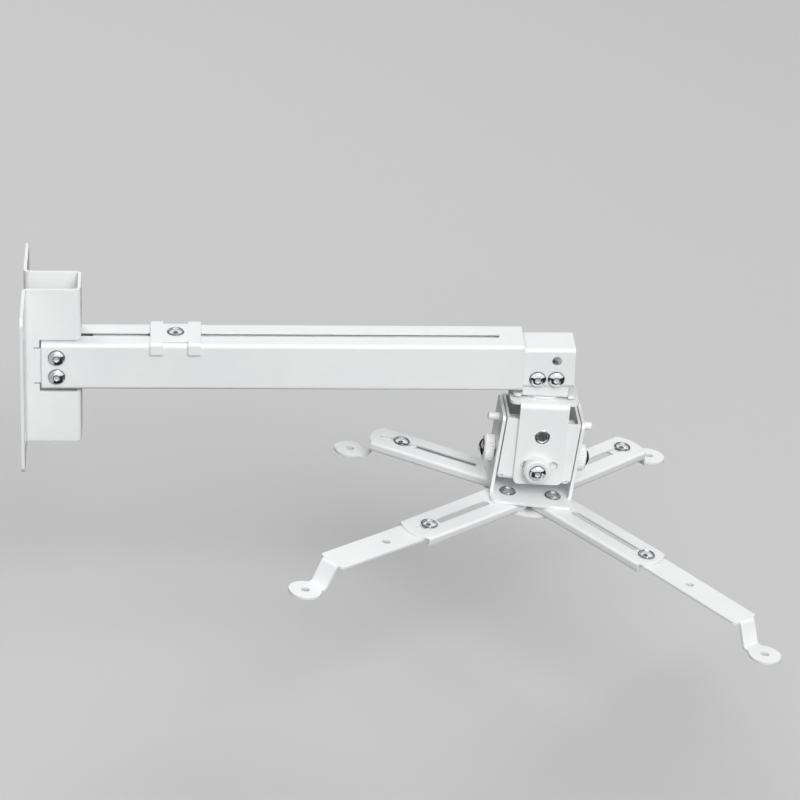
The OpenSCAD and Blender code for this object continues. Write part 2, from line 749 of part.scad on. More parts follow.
// Leg: a slotted channel, open below, with turned-in lips and a rounded tongue at its tip
module leg(which) {
    heel = 9.5;
    heel_r = 5;
    mid = leg_t/2;
    half = leg_w/2 - mid;
    color(white) at_leg(which) translate([0, 0, leg_z]) difference() {
        union() {
            intersection() {
                translate([-heel, 0, 0]) rotate([90, 0, 90]) linear_extrude(lip_end + heel)
                    sheet_2d([[-leg_w/2 + lip_w, -leg_h + mid], [-half, -leg_h + mid], [-half, -mid],
                        [half, -mid], [half, -leg_h + mid], [leg_w/2 - lip_w, -leg_h + mid]],
                        0.6 + mid, leg_t);
                translate([0, 0, -2*leg_h]) linear_extrude(3*leg_h) leg_outline(heel, heel_r);
            }
            intersection() {
                translate([leg_len - 0.8*leg_w, 0, -leg_t]) cylinder(r = 0.8*leg_w, h = leg_t);
                translate([lip_end - 1, -leg_w/2 + 2, -leg_t - 1]) cube([leg_w, leg_w - 4, leg_t + 2]);
            }
        }
        translate([0, 0, -leg_t - 1]) cylinder(r = pin_r, h = leg_t + 2);
        translate([0, 0, -leg_t - 1]) linear_extrude(leg_t + 2)
            slot_2d(leg_slot_in, leg_slot_out, leg_slot_w);
    }
}

module leg_outline(heel, r) {
    translate([-heel + r, -leg_w/2]) square([lip_end + heel - r, leg_w]);
    translate([-heel, -leg_w/2 + r]) square([heel, leg_w - 2*r]);
    for (y = [-1, 1]) translate([-heel + r, y*(leg_w/2 - r)]) circle(r = r);
}

// Points on an arc about a centre, from angle a0 to angle a1
function arc(centre, r, a0, a1) =
    [for (i = [0 : 9]) let (a = a0 + (a1 - a0)*i/9) centre + r*[cos(a), sin(a)]];

// Edge outline of the neck, which steps down from the bar to the foot eye
module neck_profile() {
    slope = 65;
    r = 2;
    bends = 2*r + bar_t;
    first = [-1, -bar_t - r];
    second = [first[0] + bends*sin(slope) + (eye_low - bends*(1 - cos(slope)))/tan(slope), -eye_low + r];
    tip = eye_reach - eye_hole/2 - 1.5;
    polygon(concat([[-3, 0]], arc(first, r + bar_t, 90, 90 - slope), arc(second, r, 270 - slope, 270),
        [[tip, -eye_low], [tip, -eye_low - bar_t]],
        arc(second, r + bar_t, 270, 270 - slope), arc(first, r, 90 - slope, 90), [[-3, -bar_t]]));
}

// Foot bar: a flat strip that ends in a bent neck and a round foot eye; its screw is at x = 0
module bar(which) {
    reach = which[4];
    color(white) at_bar(which) difference() {
        union() {
            translate([(reach - bar_tail)/2, 0, -bar_t]) linear_extrude(bar_t)
                round_rect(reach + bar_tail, bar_w, 3.5);
            translate([reach, neck_w/2, 0]) rotate([90, 0, 0]) linear_extrude(neck_w) neck_profile();
            translate([reach + eye_reach, 0, -bar_t - eye_low]) cylinder(d = eye_d, h = bar_t);
        }
        translate([0, 0, -bar_t - 1]) cylinder(r = hole_r, h = bar_t + 2);
        translate([reach + eye_reach, 0, -bar_t - eye_low - 1]) cylinder(d = eye_hole, h = bar_t + 2);
        if (reach > spare_in + bar_tail)
            translate([reach - spare_in, 0, -bar_t - 1]) cylinder(r = hole_r, h = bar_t + 2);
    }
}

module bar_screw(which) {
    seat = gap + leg_t + gap;
    color(chrome) at_bar(which) translate([0, 0, seat]) dome_screw(seat + bar_t + nut_h - 0.3);
}

module bar_nut(which) {
    color(steel) at_bar(which) translate([0, 0, -bar_t]) hex_nut();
}

wall_bracket();
outer_tube();
wall_bolts();
wall_nuts();
inner_tube();
arm_clip();
clip_screw();
clip_nut();
connector();
end_bolts();
end_nuts();
friction_disc();
swivel_bolt();
swivel_nut();
upper_bracket();
roll_eyelets();
roll_box();
roll_bolts();
roll_washers();
roll_nuts();
tilt_rod();
tilt_bolts();
tilt_washers();
tilt_nuts();
lower_bracket();
base_disc();
leg_screws();
leg_nuts();
leg(FRONT_LEFT);  // leg_front_left
leg(FRONT_RIGHT);  // leg_front_right
leg(BACK_LEFT);  // leg_back_left
leg(BACK_RIGHT);  // leg_back_right
bar(FRONT_LEFT);  // bar_front_left
bar(FRONT_RIGHT);  // bar_front_right
bar(BACK_LEFT);  // bar_back_left
bar(BACK_RIGHT);  // bar_back_right
bar_screw(FRONT_LEFT);  // bar_screw_front_left
bar_screw(FRONT_RIGHT);  // bar_screw_front_right
bar_screw(BACK_LEFT);  // bar_screw_back_left
bar_screw(BACK_RIGHT);  // bar_screw_back_right
bar_nut(FRONT_LEFT);  // bar_nut_front_left
bar_nut(FRONT_RIGHT);  // bar_nut_front_right
bar_nut(BACK_LEFT);  // bar_nut_back_left
bar_nut(BACK_RIGHT);  // bar_nut_back_right
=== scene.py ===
"""Looks of a white projector mount: powder coated sheet metal, bright screws and moulded lock washers.

Everything is in metres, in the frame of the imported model: the origin is on the wall plane where the
axis of the arm meets it, +X runs along the arm, +Y to the left of someone who faces the wall, +Z up.
"""

import json
import logging
import math
from collections.abc import Callable, Sequence
from dataclasses import dataclass, field
from enum import Enum

import bpy
from mathutils import Matrix, Vector


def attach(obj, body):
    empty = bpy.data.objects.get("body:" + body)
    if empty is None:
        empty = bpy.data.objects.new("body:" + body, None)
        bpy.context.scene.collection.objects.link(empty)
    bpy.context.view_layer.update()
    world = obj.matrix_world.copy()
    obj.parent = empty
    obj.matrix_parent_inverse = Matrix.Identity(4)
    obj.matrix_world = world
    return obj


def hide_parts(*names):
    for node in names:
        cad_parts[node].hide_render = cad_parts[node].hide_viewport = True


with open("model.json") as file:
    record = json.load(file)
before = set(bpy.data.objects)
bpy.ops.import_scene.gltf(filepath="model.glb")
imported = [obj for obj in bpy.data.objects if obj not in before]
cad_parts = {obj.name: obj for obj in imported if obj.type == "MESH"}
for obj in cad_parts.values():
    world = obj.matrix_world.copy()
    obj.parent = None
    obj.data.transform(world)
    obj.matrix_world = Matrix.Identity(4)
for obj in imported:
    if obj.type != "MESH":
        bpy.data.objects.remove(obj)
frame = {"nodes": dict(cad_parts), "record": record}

LOG = logging.getLogger("mount")
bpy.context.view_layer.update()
MM = 0.001
IMAGE_SIDE = 800

# Distance within which points are one, share of the radius that is wide, and depth of an end
WELD = 1e-6
WIDE = 0.97
END = 0.02 * MM

# Points round a fastener, and the turn in degrees above which an edge stays sharp
STEPS = 72
SHARP_FROM = 32

Colour = tuple[float, float, float]
Ring = Callable[[float], tuple[float, float]]
Socket = bpy.types.NodeSocket


class Finish(Enum):
    """The finishes on this mount, by the record's material slots."""

    COAT = "white_coat"
    ROD = "white_rod"
    KNURL = "white_knurl"
    BRIGHT = "bright_screw"
    NUT = "plain_nut"


# Mesh attributes: roughness that plating adds in a recess, and how much painted shade darkens the foot of a
# dome
SATIN = "satin"
PAINTED_RIM_SHADE = "rim"


# Shader tools


def linear(level: float) -> float:
    """Turns a screen level of 0 to 1 into scene light."""
    return level / 12.92 if level <= 0.04045 else ((level + 0.055) / 1.055) ** 2.4


def tint(red: float, green: float, blue: float) -> tuple[float, float, float, float]:
    """Turns screen levels of 0 to 255 into a node colour."""
    return (linear(red / 255), linear(green / 255), linear(blue / 255), 1.0)


@dataclass
class Graph:
    """A node tree that is built call by call.

    Attributes:
        tree: the node tree of a material, a world or a group.
    """

    tree: bpy.types.NodeTree

    def add(self, kind: str, inputs: dict | None = None, **settings: object) -> bpy.types.Node:
        """Adds a node.

        Args:
            kind: the node's type name.
            inputs: values or sockets by input name or number.
            settings: attributes of the node.

        Returns:
            The new node.
        """
        node = self.tree.nodes.new(kind)
        for name, value in settings.items():
            setattr(node, name, value)
        for key, value in (inputs or {}).items():
            self.feed(node.inputs[key], value)
        return node

    def feed(self, socket: Socket, value: object) -> None:
        """Links a socket, or sets its plain value."""
        if isinstance(value, Socket):
            self.tree.links.new(value, socket)
        else:
            socket.default_value = value

    def math(self, how: str, first: object, second: object = 0.0, clamp: bool = False) -> Socket:
        """Adds a math node and returns its value."""
        node = self.add("ShaderNodeMath", {0: first, 1: second}, operation=how, use_clamp=clamp)
        return node.outputs[0]

    def remap(
        self, value: object, low: float, high: float, to_low: float = 0.0, to_high: float = 1.0
    ) -> Socket:
        """Maps a value from one range to another, held at both ends, and returns it."""
        node = self.add("ShaderNodeMapRange", {0: value, 1: low, 2: high, 3: to_low, 4: to_high})
        return node.outputs[0]

    def mix(self, factor: object, first: object, second: object, how: str = "MIX") -> Socket:
        """Mixes two colours and returns the colour."""
        node = self.add("ShaderNodeMix", {"Factor": factor}, data_type="RGBA", blend_type=how)
        self.feed(node.inputs[6], first)
        self.feed(node.inputs[7], second)
        return node.outputs[2]

    def noise(self, vector: object, scale: object, detail: float, roughness: float = 0.5) -> Socket:
        """Adds a noise texture and returns its value."""
        inputs = {"Vector": vector, "Scale": scale, "Detail": detail, "Roughness": roughness}
        return self.add("ShaderNodeTexNoise", inputs).outputs[0]


def new_group(name: str, inputs: dict[str, float], outputs: dict[str, str]) -> tuple[Graph, bpy.types.Node]:
    """Starts a shader node group.

    Args:
        name: the group's name.
        inputs: default value by name of each number that goes in.
        outputs: socket type by name of what comes out.

    Returns:
        The group's graph and its input node.
    """
    tree = bpy.data.node_groups.new(name, "ShaderNodeTree")
    for key, value in inputs.items():
        socket = tree.interface.new_socket(key, in_out="INPUT", socket_type="NodeSocketFloat")
        socket.default_value = value
    for key, kind in outputs.items():
        tree.interface.new_socket(key, in_out="OUTPUT", socket_type=kind)
    graph = Graph(tree)
    return graph, graph.add("NodeGroupInput")


def new_material(name: str) -> tuple[bpy.types.Material, Graph, bpy.types.Node]:
    """Starts a material.

    Args:
        name: the material's name.

    Returns:
        The material, its graph and its Principled shader.
    """
    made = bpy.data.materials.new(name)
    made.use_nodes = True
    return made, Graph(made.node_tree), made.node_tree.nodes["Principled BSDF"]


@dataclass(frozen=True)
class Effects:
    """Effects that more than one finish uses, each built once as a node group.

    Attributes:
        edges: rounds sharp edges for the light and marks them.
        peel: the fine unevenness of sprayed or moulded surfaces.
        handling: dust on what faces up, and faint clouds of tone.
        scratches: fine hairline marks of machining and tools.
    """

    edges: bpy.types.NodeTree
    peel: bpy.types.NodeTree
    handling: bpy.types.NodeTree
    scratches: bpy.types.NodeTree

    @classmethod
    def build(cls) -> "Effects":
        """Builds every group."""
        return cls(cls._edges(), cls._peel(), cls._handling(), cls._scratches())

    @staticmethod
    def _edges() -> bpy.types.NodeTree:
        """Group with a rounded normal and a mask of the edges it rounds."""
        graph, given = new_group(
            "soft_edges",
            {"Radius": 0.0004, "Sharpness": 3.0},
            {"Normal": "NodeSocketVector", "Mask": "NodeSocketFloat"},
        )
        rounded = graph.add("ShaderNodeBevel", {"Radius": given.outputs["Radius"]}, samples=6)
        true = graph.add("ShaderNodeNewGeometry").outputs["Normal"]
        dot = graph.add("ShaderNodeVectorMath", {0: rounded.outputs[0], 1: true}, operation="DOT_PRODUCT")
        off = graph.math("SUBTRACT", 1.0, dot.outputs["Value"])
        mask = graph.math("MULTIPLY", off, given.outputs["Sharpness"], clamp=True)
        graph.add("NodeGroupOutput", {"Normal": rounded.outputs[0], "Mask": mask})
        return graph.tree

    @staticmethod
    def _peel() -> bpy.types.NodeTree:
        """Group with the height of an orange peel and its fine grit."""
        graph, given = new_group("orange_peel", {"Size": 700.0, "Grit": 0.3}, {"Height": "NodeSocketFloat"})
        place = graph.add("ShaderNodeTexCoord").outputs["Object"]
        wave = graph.noise(place, given.outputs["Size"], 1.5)
        finer = graph.math("MULTIPLY", given.outputs["Size"], 5.5)
        grit = graph.math("MULTIPLY", graph.noise(place, finer, 2.0), given.outputs["Grit"])
        graph.add("NodeGroupOutput", {"Height": graph.math("ADD", wave, grit)})
        return graph.tree

    @staticmethod
    def _handling() -> bpy.types.NodeTree:
        """Group with a mask of settled dust and a mask of faint clouds."""
        graph, given = new_group(
            "handling",
            {"Cloud Size": 22.0, "Fleck Size": 1900.0},
            {"Dust": "NodeSocketFloat", "Clouds": "NodeSocketFloat"},
        )
        place = graph.add("ShaderNodeTexCoord").outputs["Object"]
        clouds = graph.remap(graph.noise(place, given.outputs["Cloud Size"], 4.0, 0.6), 0.35, 0.7)
        side = graph.add("ShaderNodeSeparateXYZ", {0: graph.add("ShaderNodeNewGeometry").outputs["Normal"]})
        up = graph.remap(side.outputs[2], 0.55, 1.0)
        flecks = graph.remap(graph.noise(place, given.outputs["Fleck Size"], 3.0, 0.7), 0.6, 0.78)
        graph.add("NodeGroupOutput", {"Dust": graph.math("MULTIPLY", up, flecks), "Clouds": clouds})
        return graph.tree

    @staticmethod
    def _scratches() -> bpy.types.NodeTree:
        """Group with a mask and a height of hairline marks in two directions."""
        graph, given = new_group(
            "hairlines",
            {"Fineness": 900.0, "Amount": 0.5},
            {"Mask": "NodeSocketFloat", "Height": "NodeSocketFloat"},
        )
        place = graph.add("ShaderNodeTexCoord").outputs["Object"]
        lines = []
        for turn in (0.35, -0.9):
            laid = graph.add(
                "ShaderNodeMapping",
                {"Vector": place, "Rotation": (turn, 0.4, turn), "Scale": (1.0, 0.045, 0.3)},
            )
            noise = graph.noise(laid.outputs[0], given.outputs["Fineness"], 2.0)
            lines.append(graph.remap(noise, 0.56, 0.66))
        both = graph.math("MAXIMUM", lines[0], lines[1])
        mask = graph.math("MULTIPLY", both, given.outputs["Amount"])
        graph.add("NodeGroupOutput", {"Mask": mask, "Height": graph.math("SUBTRACT", 1.0, mask)})
        return graph.tree


@dataclass(frozen=True)
class Paint:
    """A white sprayed or moulded surface.

    Attributes:
        name: the material's name.
        colour: screen levels of the clean surface.
        shade: screen levels of its faint darker clouds.
        roughness: how dull it is.
        peel_size: how many bumps a metre holds.
        peel_depth: height of the bumps, in metres.
        edge_radius: radius at which sharp edges are rounded, in metres.
        through: how much light goes into it, for moulded plastic.
        through_depth: how far that light goes, in metres.
        edge_highlight: how strongly rounded edges take the painted highlight.
        highlit_edges: screen levels of the painted highlight on rounded edges.
        dust: how strongly settled dust takes its own colour.
        dust_colour: screen levels of dust.
        dust_dulls: roughness that dust adds.
        clouds_dull: roughness between the clouds and in them, against the plain value.
    """

    name: str
    colour: Colour
    shade: Colour
    roughness: float
    peel_size: float
    peel_depth: float
    edge_radius: float
    through: float = 0.0
    through_depth: float = 0.0012
    edge_highlight: float = 0.8
    highlit_edges: Colour = (252, 252, 251)
    dust: float = 0.10
    dust_colour: Colour = (196, 190, 180)
    dust_dulls: float = 0.2
    clouds_dull: tuple[float, float] = (-0.03, 0.05)

    def material(self, effects: Effects) -> bpy.types.Material:
        """Builds the material.

        Args:
            effects: the shared node groups.

        Returns:
            The finished material.
        """
        made, graph, shader = new_material(self.name)
        edges = graph.add("ShaderNodeGroup", node_tree=effects.edges)
        edges.inputs["Radius"].default_value = self.edge_radius
        peel = graph.add("ShaderNodeGroup", node_tree=effects.peel)
        peel.inputs["Size"].default_value = self.peel_size
        handling = graph.add("ShaderNodeGroup", node_tree=effects.handling)
        body = graph.mix(handling.outputs["Clouds"], tint(*self.colour), tint(*self.shade))
        # Painted highlight: rounded edges are mixed towards a brighter white
        edge_highlight = graph.math("MULTIPLY", edges.outputs["Mask"], self.edge_highlight)
        highlit_edges = graph.mix(edge_highlight, body, tint(*self.highlit_edges))
        cover = graph.math("MULTIPLY", handling.outputs["Dust"], self.dust)
        dusty = graph.mix(cover, highlit_edges, tint(*self.dust_colour))
        low, high = (self.roughness + change for change in self.clouds_dull)
        rough = graph.remap(handling.outputs["Clouds"], 0.0, 1.0, low, high)
        dulled = graph.math("MULTIPLY", handling.outputs["Dust"], self.dust_dulls)
        rougher = graph.math("ADD", rough, dulled)
        bump = graph.add("ShaderNodeBump", {"Strength": 1.0, "Distance": self.peel_depth})
        graph.feed(bump.inputs["Height"], peel.outputs["Height"])
        graph.feed(bump.inputs["Normal"], edges.outputs["Normal"])
        graph.feed(shader.inputs["Base Color"], dusty)
        graph.feed(shader.inputs["Roughness"], rougher)
        graph.feed(shader.inputs["Normal"], bump.outputs[0])
        shader.inputs["IOR"].default_value = 1.5
        if self.through:
            shader.inputs["Subsurface Weight"].default_value = self.through
            shader.inputs["Subsurface Radius"].default_value = (1.0, 1.0, 1.0)
            shader.inputs["Subsurface Scale"].default_value = self.through_depth
        return made


@dataclass(frozen=True)
class Plate:
    """A plated metal surface.

    Attributes:
        name: the material's name.
        colour: screen levels of the bright metal.
        shade: screen levels where it is duller.
        roughness: how dull the bright metal is.
        marks: how strong its hairlines are.
        mottle: how strong its cloudy patches are.
        patches: how many of those patches a metre holds.
        edge_radius: radius at which sharp edges are rounded, in metres.
        edge_highlight: how strongly rounded edges take the painted highlight.
        highlit_edges: screen levels of the painted highlight on rounded edges.
        dulls: roughness that hairlines and patches add.
        painted_rim_shade: screen levels of the painted shade at the foot of a dome.
        mark_depth: depth of the hairlines, in metres.
    """

    name: str
    colour: Colour
    shade: Colour
    roughness: float
    marks: float
    mottle: float
    patches: float = 260.0
    edge_radius: float = 0.00015
    edge_highlight: float = 0.5
    highlit_edges: Colour = (240, 240, 240)
    dulls: float = 0.18
    painted_rim_shade: Colour = (58, 60, 64)
    mark_depth: float = 0.00001

    def material(self, effects: Effects) -> bpy.types.Material:
        """Builds the material.

        Args:
            effects: the shared node groups.

        Returns:
            The finished material.
        """
        made, graph, shader = new_material(self.name)
        edges = graph.add("ShaderNodeGroup", node_tree=effects.edges)
        edges.inputs["Radius"].default_value = self.edge_radius
        lines = graph.add("ShaderNodeGroup", node_tree=effects.scratches)
        lines.inputs["Amount"].default_value = self.marks
        handling = graph.add("ShaderNodeGroup", node_tree=effects.handling)
        handling.inputs["Cloud Size"].default_value = self.patches
        cloud = graph.math("MULTIPLY", handling.outputs["Clouds"], self.mottle)
        body = graph.mix(cloud, tint(*self.colour), tint(*self.shade))
        # Painted highlight: rounded edges are mixed towards a brighter colour
        edge_highlight = graph.math("MULTIPLY", edges.outputs["Mask"], self.edge_highlight)
        highlit_edges = graph.mix(edge_highlight, body, tint(*self.highlit_edges))
        # Painted shade: a dark ring at the foot of each dome head, read from the rim attribute
        rim = graph.add("ShaderNodeAttribute", attribute_name=PAINTED_RIM_SHADE)
        rim_shaded = graph.mix(rim.outputs["Fac"], highlit_edges, tint(*self.painted_rim_shade))
        used = graph.math("MULTIPLY", graph.math("ADD", lines.outputs["Mask"], cloud), self.dulls)
        satin = graph.add("ShaderNodeAttribute", attribute_name=SATIN)
        dull = graph.math("ADD", used, satin.outputs["Fac"])
        bump = graph.add("ShaderNodeBump", {"Strength": 0.5, "Distance": self.mark_depth})
        graph.feed(bump.inputs["Height"], lines.outputs["Height"])
        graph.feed(bump.inputs["Normal"], edges.outputs["Normal"])
        graph.feed(shader.inputs["Base Color"], rim_shaded)
        graph.feed(shader.inputs["Roughness"], graph.math("ADD", dull, self.roughness))
        graph.feed(shader.inputs["Normal"], bump.outputs[0])
        shader.inputs["Metallic"].default_value = 1.0
        return made


FINISHES: dict[Finish, Paint | Plate] = {
    Finish.COAT: Paint(
        "white_powder_coat",
        colour=(240, 241, 241),
        shade=(236, 237, 238),
        roughness=0.40,
        peel_size=620.0,
        peel_depth=0.000012,
        edge_radius=0.00045,
    ),
    Finish.ROD: Paint(
        "white_enamel_rod",
        colour=(243, 243, 241),
        shade=(236, 236, 234),
        roughness=0.34,
        peel_size=900.0,
        peel_depth=0.000006,
        edge_radius=0.0003,
    ),
    Finish.KNURL: Paint(
        "white_moulded_washer",
        colour=(238, 239, 237),
        shade=(233, 234, 232),
        roughness=0.46,
        peel_size=1500.0,
        peel_depth=0.000005,
        edge_radius=0.0002,
        through=0.25,
    ),
    Finish.BRIGHT: Plate(
        "bright_nickel_plate",
        colour=(233, 234, 236),
        shade=(214, 216, 220),
        roughness=0.07,
        marks=0.35,
        mottle=0.25,
    ),
    Finish.NUT: Plate(
        "dull_zinc_plate",
        colour=(196, 199, 203),
        shade=(168, 170, 168),
        roughness=0.27,
        marks=0.6,
        mottle=0.8,
    ),
}


@dataclass
class Workshop:
    """The shared effects and one material for each finish.

    Attributes:
        effects: the shared node groups.
        materials: the material of each finish.
    """

    effects: Effects = field(default_factory=Effects.build)
    materials: dict[Finish, bpy.types.Material] = field(default_factory=dict)

    def get(self, finish: Finish) -> bpy.types.Material:
        """Returns a finish's material, made at its first use."""
        if finish not in self.materials:
            self.materials[finish] = FINISHES[finish].material(self.effects)
        return self.materials[finish]


# Meshes


@dataclass
class Lathe:
    """A mesh of rings about +Z that may be round, six-sided or threaded.

    Attributes:
        steps: how many points a ring has.
        rings: each ring's radius and height as a function of the angle, in metres.
    """

    steps: int = STEPS
    rings: list[Ring] = field(default_factory=list)

    def round(self, radius: float, height: float) -> None:
        """Adds a round ring."""
        self.rings.append(lambda angle: (radius, height))

    def fillet(
        self, centre: tuple[float, float], radius: float, start: float, end: float, count: int
    ) -> None:
        """Adds the rings of a rounded edge, from one angle of its section to another, in degrees."""
        for i in range(count + 1):
            a = math.radians(start + (end - start) * i / count)
            self.round(centre[0] + radius * math.cos(a), centre[1] + radius * math.sin(a))

    def hexagon(self, apothem: float, height: float, cone: float = 0.0, limit: float = 0.0) -> None:
        """Adds a six-sided ring.

        Args:
            apothem: half of the width across the flats.
            height: height of the ring at the middle of a flat.
            cone: how fast the ring's height changes as it goes out, for a chamfer.
            limit: radius that the ring never passes, or 0.
        """

        def place(angle: float) -> tuple[float, float]:
            turn = (angle + math.pi / 6) % (math.pi / 3) - math.pi / 6
            radius = apothem / math.cos(turn)
            radius = min(radius, limit) if limit else radius
            return radius, height + cone * (radius - apothem)

        self.rings.append(place)

    def thread(self, radius: float, top: float, bottom: float, pitch: float) -> None:
        """Adds a screw thread that runs down from top to bottom and fades out at both ends."""
        depth = 0.54 * pitch
        rows_a_turn = 6
        rows = max(rows_a_turn, round((top - bottom) / pitch * rows_a_turn))
        for i in range(rows + 1):
            height = top + (bottom - top) * i / rows
            fade = min(1.0, (top - height) / pitch, (height - bottom) / pitch + 0.25)

            def place(angle: float, height: float = height, fade: float = fade) -> tuple[float, float]:
                turn = (height / pitch + angle / math.tau) % 1.0
                # The flanks slope, and the crests and roots between them are flat
                crest = max(0.0, min(1.0, 2.4 * abs(turn - 0.5) - 0.1))
                return radius - depth * (1.0 - crest) * max(0.0, fade), height

            self.rings.append(place)

    def mesh(self, name: str, closed: bool = False) -> bpy.types.Mesh:
        """Makes the mesh.

        Args:
            name: the mesh's name.
            closed: whether the last ring joins the first, as on a nut. If not, both are filled.

        Returns:
            The new mesh, smooth except at its sharp edges.
        """
        points: list[tuple[float, float, float]] = []
        for ring in self.rings:
            for i in range(self.steps):
                angle = math.tau * i / self.steps
                radius, height = ring(angle)
                points.append((radius * math.cos(angle), radius * math.sin(angle), height))
        faces: list[Sequence[int]] = []
        count = len(self.rings)
        for k in range(count if closed else count - 1):
            low, high = k * self.steps, ((k + 1) % count) * self.steps
            for i in range(self.steps):
                j = (i + 1) % self.steps
                faces.append((low + i, high + i, high + j, low + j))
        for ring in () if closed else (0, count - 1):
            points.append((0.0, 0.0, points[ring * self.steps][2]))
            hub = len(points) - 1
            for i in range(self.steps):
                a, b = ring * self.steps + i, ring * self.steps + (i + 1) % self.steps
                faces.append((hub, a, b) if ring == 0 else (hub, b, a))
        made = bpy.data.meshes.new(name)
        made.from_pydata(points, [], faces)
        made.validate()
        made.polygons.foreach_set("use_smooth", [True] * len(made.polygons))
        made.set_sharp_from_angle(angle=math.radians(SHARP_FROM))
        return made


def centre_line(points: list[Vector], along: Vector) -> tuple[Vector, Vector, Vector]:
    """Finds the line that runs midway between a solid's sides.

    Args:
        points: the solid's corner points.
        along: unit direction of the line.

    Returns:
        Two unit directions across the line, and the line's point that lies nearest to the origin.
    """
    side = along.orthogonal().normalized()
    other = along.cross(side)
    spans = [[p.dot(d) for p in points] for d in (side, other)]
    middle = side * ((min(spans[0]) + max(spans[0])) / 2) + other * ((min(spans[1]) + max(spans[1])) / 2)
    return side, other, middle


def mean(points: Sequence[Vector]) -> Vector:
    """Returns the mean of some points."""
    return sum(points, Vector()) / len(points)


@dataclass(frozen=True)
class Seat:
    """Where a round fastener sits, read from its CAD solid.

    Attributes:
        low: lowest point on the fastener's axis.
        axis: unit direction of the axis, towards the head.
        height: length along the axis.
        corner: unit direction to the corner that lies farthest out.
        radius: largest distance from the axis.
        seat: distance from the low point to the underside of the widest part.
        shank: radius at the low end.
    """

    low: Vector
    axis: Vector
    height: float
    corner: Vector
    radius: float
    seat: float
    shank: float

    @classmethod
    def read(cls, points: list[Vector], axis: Vector) -> "Seat":
        """Reads a seat.

        Args:
            points: the solid's corner points.
            axis: direction of the fastener's axis, either way.

        Returns:
            The seat, with its axis towards the wider end.
        """
        along = axis.normalized()
        middle = centre_line(points, along)[2]
        out = [(p - along * p.dot(along)) - middle for p in points]
        widest = max(o.length for o in out)
        heights = [p.dot(along) for p in points]
        wide = [h for h, o in zip(heights, out) if o.length > WIDE * widest]
        if sum(wide) / len(wide) < (min(heights) + max(heights)) / 2:
            along = -along
            heights = [-h for h in heights]
            wide = [-h for h in wide]
        low = min(heights)
        at_end = [o.length for h, o in zip(heights, out) if h < low + END]
        corner = max(out, key=lambda o: o.length).normalized()
        return cls(
            low=middle + along * low,
            axis=along,
            height=max(heights) - low,
            corner=corner,
            radius=widest,
            seat=min(wide) - low,
            shank=max(at_end),
        )

    def matrix(self) -> Matrix:
        """Frame at the low point, with Z along the axis and X to a corner."""
        side = self.axis.cross(self.corner).normalized()
        turn = Matrix((self.corner, side, self.axis)).transposed().to_4x4()
        return Matrix.Translation(self.low) @ turn


def solids(obj: bpy.types.Object) -> list[list[Vector]]:
    """Splits a CAD node into its separate solids.

    Args:
        obj: the node's object.

    Returns:
        The corner points of each solid, in the frame of the model.
    """
    places: dict[tuple[int, int, int], int] = {}
    owner = []
    for vertex in obj.data.vertices:
        key = tuple(round(c / WELD) for c in vertex.co)
        owner.append(places.setdefault(key, len(places)))
    parent = list(range(len(places)))

    def find(i: int) -> int:
        while parent[i] != i:
            parent[i] = parent[parent[i]]
            i = parent[i]
        return i

    for face in obj.data.polygons:
        first = find(owner[face.vertices[0]])
        for other in face.vertices[1:]:
            parent[find(owner[other])] = first
    groups: dict[int, list[Vector]] = {}
    for vertex, place in zip(obj.data.vertices, owner):
        groups.setdefault(find(place), []).append(obj.matrix_world @ vertex.co)
    return [groups[key] for key in sorted(groups)]


def body_of_node(node: str) -> str:
    """Name of the body that carries a CAD node."""
    bodies = frame["record"]["behaviour"]["bodies"]
    return next(name for name, nodes in bodies.items() if node in nodes)


def joint_axis(name: str) -> Vector:
    """Direction of a joint's axis at rest."""
    joint = next(j for j in frame["record"]["behaviour"]["joints"] if j["name"] == name)
    return Vector(joint["axis"])


def add_object(name: str, data: bpy.types.ID) -> bpy.types.Object:
    """Adds a mesh, a lamp or a camera to the scene and returns its object."""
    obj = bpy.data.objects.new(name, data)
    bpy.context.collection.objects.link(obj)
    return obj


def stand_in(
    name: str, node: str, mesh: bpy.types.Mesh, place: Matrix, finish: Finish, shop: Workshop
) -> None:
    """Adds a finer piece that stands for one solid of a CAD node.

    Args:
        name: the piece's name.
        node: the CAD node.
        mesh: the piece's mesh, which isn't shared with another object.
        place: where the mesh's own frame lies.
        finish: the piece's finish.
        shop: where its material comes from.
    """
    mesh.transform(place)
    piece = add_object(name, mesh)
    mesh.materials.append(shop.get(finish))
    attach(piece, body_of_node(node))
    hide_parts(node)


